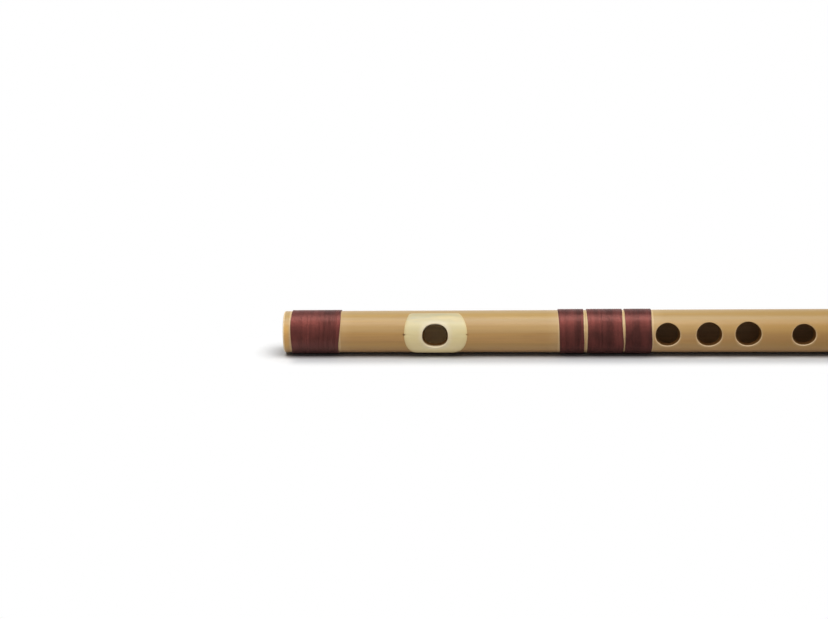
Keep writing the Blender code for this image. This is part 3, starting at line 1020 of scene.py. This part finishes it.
class BANSURI_OT_plate(bpy.types.Operator):
    """Make the saddle plate round the blowing hole"""

    bl_idname = "bansuri.plate"
    bl_label = "Lip plate"

    def execute(self, context):
        piece = make_piece("saddle_plate", make_plate_mesh, ivory_finish())
        join_frame(piece, "lip_plate", "flute")
        return {"FINISHED"}


class BANSURI_OT_cork(bpy.types.Operator):
    """Make the cork that closes the bore"""

    bl_idname = "bansuri.cork"
    bl_label = "Cork stopper"

    def execute(self, context):
        piece = make_piece("cork_plug", make_cork_mesh, cork_finish())
        join_frame(piece, "cork_stopper", "stopper")
        return {"FINISHED"}


class BANSURI_OT_bindings(bpy.types.Operator):
    """Wind the thread bindings"""

    bl_idname = "bansuri.bindings"
    bl_label = "Thread bindings"

    def execute(self, context):
        tree = winding_tree()
        material = thread_finish()
        for seed, (name, manner) in enumerate(BINDINGS.items()):
            piece = wind(name, manner, tree, material, seed * SEED_STEP)
            join_frame(piece, name, "flute")
        return {"FINISHED"}


class BANSURI_OT_stage(bpy.types.Operator):
    """Lay the floor, hang the lamps and set up the camera"""

    bl_idname = "bansuri.stage"
    bl_label = "Stage"

    def execute(self, context):
        make_floor()
        make_lights()
        make_camera()
        return {"FINISHED"}


def shows_background(nodes):
    """1 for the rays that show the background: from the camera, off gloss and through glass."""
    path = nodes.node("ShaderNodeLightPath").outputs
    camera, glossy, through = (
        Value(nodes, path[name]) for name in ("Is Camera Ray", "Is Glossy Ray", "Is Transmission Ray"))
    return (camera + glossy + through).maths("MINIMUM", 1.0)


# Half the side of the floor, in metres
FLOOR_HALF = 3.0


def make_floor():
    """A level pale floor: the camera sees the flute's shadow on it, cast by the lamps and deepened by painted
    shadow, and plain white farther away.
    """
    mesh = bpy.data.meshes.new("floor")
    corners = [(x * FLOOR_HALF, y * FLOOR_HALF, 0) for x, y in ((-1, -1), (1, -1), (1, 1), (-1, 1))]
    mesh.from_pydata(corners, [], [(0, 1, 2, 3)])
    finish = Finish("pale_floor")
    seen = shows_background(finish)
    x, y, _ = finish.place()
    past_end = x.maths("ABSOLUTE") - TUBE_LENGTH / 2
    along = past_end.maths("MAXIMUM", 0.0)
    away = (along * along + y * y).maths("SQRT")
    beside = past_end.fade(-8 * MM, -2 * MM)
    # Painted shadow on the floor beside the flute: a faint wide band, then a darker contact line
    wide_shadow = away.band(9 * MM, 13 * MM, 15 * MM, 25 * MM) * beside
    under = finish.blend(wide_shadow * 0.22, (1.0, 1.0, 1.0), (0.05, 0.10, 0.15))
    contact_shadow = away.band(3.5 * MM, 5.5 * MM, 5.5 * MM, 7.5 * MM) * beside
    under = finish.blend(contact_shadow * 0.45, under, (0.12, 0.08, 0.03))
    # Ambient occlusion as painted shade on the floor near the flute
    close = finish.node("ShaderNodeAmbientOcclusion", {"Distance": 40 * MM}).outputs["Color"]
    shaded = finish.blend(0.85, under, close, "MULTIPLY")
    paper = finish.blend(seen, colours().floor, shaded)
    finish.set(Base_Color=paper, Roughness=0.9, Specular_IOR_Level=0.1)
    white = finish.node("ShaderNodeEmission", {"Strength": 1.0})
    surface = finish.node("ShaderNodeMixShader", {"Fac": away.step(13 * MM, 34 * MM) * seen})
    finish.feed(surface.inputs[1], finish.shader.outputs[0])
    finish.feed(surface.inputs[2], white.outputs[0])
    finish.feed(finish.tree.nodes["Material Output"].inputs["Surface"], surface.outputs[0])
    mesh.materials.append(finish.material)
    floor = link_new("floor", mesh)
    floor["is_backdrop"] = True


# Area lamps: name, place, target, width and depth in metres, and radiance
LAMPS = (
    ("overhead_strip", (0.0, -0.08, 1.3), (0.0, -0.08, 0.0), 1.8, 0.5, 4.5),
    ("overhead_box", (0.0, -0.70, 1.3), (0.0, -0.70, 0.0), 1.8, 0.6, 3.6),
    ("front_fill", (0.0, -1.19, 0.53), (0.0, 0.0, 0.01), 2.4, 0.68, 0.3),
)
WORLD_LIGHT = 0.15


def make_lights():
    """Two soft lamps overhead, a weak one in front, and an even world that looks white but lights weakly."""
    for name, place, target, width, depth, radiance in LAMPS:
        light = bpy.data.lights.new(name, "AREA")
        light.shape = "RECTANGLE"
        light.size = width
        light.size_y = depth
        light.energy = radiance * math.pi * width * depth
        lamp = link_new(name, light)
        lamp.location = place
        lamp.rotation_euler = (Vector(target) - Vector(place)).to_track_quat("-Z", "Y").to_euler()
        lamp.visible_camera = False
    world = bpy.data.worlds.new("plain studio")
    bpy.context.scene.world = world
    world.use_nodes = True
    nodes = Nodes(world.node_tree)
    background = world.node_tree.nodes["Background"]
    background.inputs["Color"].default_value = (1.0, 1.0, 1.0, 1.0)
    nodes.feed(background.inputs["Strength"], WORLD_LIGHT + shows_background(nodes) * (1.0 - WORLD_LIGHT))


# Camera: where it stands round its target, its lens in mm, and how far the target lies along the bore's axis
# from the head end and above it
CAMERA_ELEVATION = math.radians(14.5)
CAMERA_AZIMUTH = math.radians(2.31)
CAMERA_ROLL = math.radians(-0.66)
CAMERA_DISTANCE = 0.8
CAMERA_LENS = 71.78
AIM_ALONG = 62.95 * MM
AIM_ABOVE = 10.63 * MM


def make_camera():
    """The photograph's view: a long lens, a little above the flute, aimed above the upper half."""
    level = math.cos(CAMERA_ELEVATION)
    sideways, ahead = math.sin(CAMERA_AZIMUTH), math.cos(CAMERA_AZIMUTH)
    back = Vector((sideways * level, -ahead * level, math.sin(CAMERA_ELEVATION)))
    right = Vector((ahead, sideways, 0.0))
    up = back.cross(right)
    target = to_world() @ Vector((AIM_ALONG, 0.0, 0.0)) + up * AIM_ABOVE
    data = bpy.data.cameras.new("camera")
    data.lens = CAMERA_LENS
    data.sensor_width = 36.0
    data.clip_start, data.clip_end = 0.05, 20.0
    camera = link_new("camera", data)
    turn = Matrix((right, up, back)).transposed().to_4x4()
    camera.matrix_world = (
        Matrix.Translation(target + back * CAMERA_DISTANCE) @ turn @ Matrix.Rotation(CAMERA_ROLL, 4, "Z"))
    bpy.context.scene.camera = camera
    bpy.context.scene.view_settings.view_transform = "Standard"


class BANSURI_PT_panel(bpy.types.Panel):
    """The flute's pieces and sizes, in the sidebar."""

    bl_label = "Bansuri"
    bl_idname = "BANSURI_PT_panel"
    bl_space_type = "VIEW_3D"
    bl_region_type = "UI"
    bl_category = "Bansuri"

    def draw(self, context):
        for operator in OPERATORS:
            self.layout.operator(operator.bl_idname)
        for group in (sizes(), colours()):
            for name in group.__annotations__:
                self.layout.prop(group, name)


OPERATORS = (BANSURI_OT_bamboo, BANSURI_OT_plate, BANSURI_OT_cork, BANSURI_OT_bindings, BANSURI_OT_stage)
CLASSES = (BansuriSizes, BansuriColours) + OPERATORS + (BANSURI_PT_panel,)


def register():
    for cls in CLASSES:
        bpy.utils.register_class(cls)
    bpy.types.Scene.bansuri_sizes = PointerProperty(type=BansuriSizes)
    bpy.types.Scene.bansuri_colours = PointerProperty(type=BansuriColours)


def unregister():
    del bpy.types.Scene.bansuri_colours
    del bpy.types.Scene.bansuri_sizes
    for cls in reversed(CLASSES):
        bpy.utils.unregister_class(cls)


def main():
    register()
    bpy.ops.bansuri.bamboo()
    bpy.ops.bansuri.plate()
    bpy.ops.bansuri.cork()
    bpy.ops.bansuri.bindings()
    bpy.ops.bansuri.stage()
    corners = {"cad": CAD_BOUNDS, "visual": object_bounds()}
    {name: [list(corner) for corner in box] for name, box in corners.items()}


if __name__ == "__main__":
    main()
